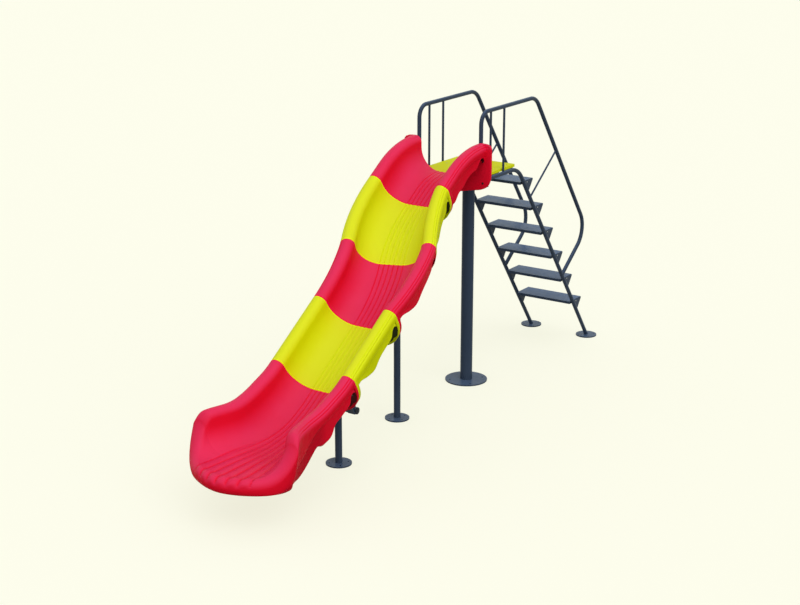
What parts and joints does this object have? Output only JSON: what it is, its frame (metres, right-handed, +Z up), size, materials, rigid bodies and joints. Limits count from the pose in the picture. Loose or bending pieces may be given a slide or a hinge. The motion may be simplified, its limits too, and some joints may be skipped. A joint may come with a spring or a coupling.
{
  "type": "pool slide",
  "caption": "Pool slide with a bolted S-bend chute of moulded sections, a scoop exit, a small railed platform on a post, a steel stair and two chute supports.",
  "frame": {"origin": "on the ground at the centre of the main base plate's bolt circle", "axes": "+Z up, +X along the run from the chute's exit towards the stair, +Y to the left when looking along +X"},
  "size_m": [5.9361, 1.1869, 2.674],
  "materials": {
    "red_plastic": "satin gloss",
    "lime_plastic": "satin gloss",
    "lime_panel": "fine grained",
    "steel_paint": "satin powder coat",
    "zinc": "zinc plated",
    "cap_plastic": "matt"
  },
  "bodies": {
    "root": {"chute_start": "red_plastic", "chute_bend_out": "lime_plastic", "chute_bend_back": "red_plastic", "chute_straight": "lime_plastic", "chute_exit": "red_plastic", "joint_bolts_1": "zinc", "joint_bolts_2": "zinc", "joint_bolts_3": "zinc", "joint_bolts_4": "zinc", "entry_bolts": "zinc", "entry_lug_left": "steel_paint", "entry_lug_right": "steel_paint", "main_post": "steel_paint", "main_base_plate": "steel_paint", "main_head_plate": "steel_paint", "platform_beam_front": "steel_paint", "platform_beam_middle": "steel_paint", "platform_beam_rear": "steel_paint", "platform_panel": "lime_panel", "panel_screws": "zinc", "stringer_left": "steel_paint", "stringer_right": "steel_paint", "stringer_foot_left": "steel_paint", "stringer_foot_right": "steel_paint", "gussets_left": "steel_paint", "gussets_right": "steel_paint", "tread_1": "steel_paint", "tread_2": "steel_paint", "tread_3": "steel_paint", "tread_4": "steel_paint", "tread_5": "steel_paint", "tread_6": "steel_paint", "tread_bolts": "zinc", "handrail_left": "steel_paint", "handrail_right": "steel_paint", "baluster_front_left": "steel_paint", "baluster_front_right": "steel_paint", "baluster_rear_left": "steel_paint", "baluster_rear_right": "steel_paint", "brace_left": "steel_paint", "brace_right": "steel_paint", "mid_base_plate": "steel_paint", "mid_post": "steel_paint", "mid_cross_bar": "steel_paint", "mid_bracket_left": "steel_paint", "mid_bracket_right": "steel_paint", "front_base_plate": "steel_paint", "front_post": "steel_paint", "front_cross_bar": "steel_paint", "front_bracket_left": "steel_paint", "front_bracket_right": "steel_paint", "bar_caps": "cap_plastic"}
  },
  "joints": []
}
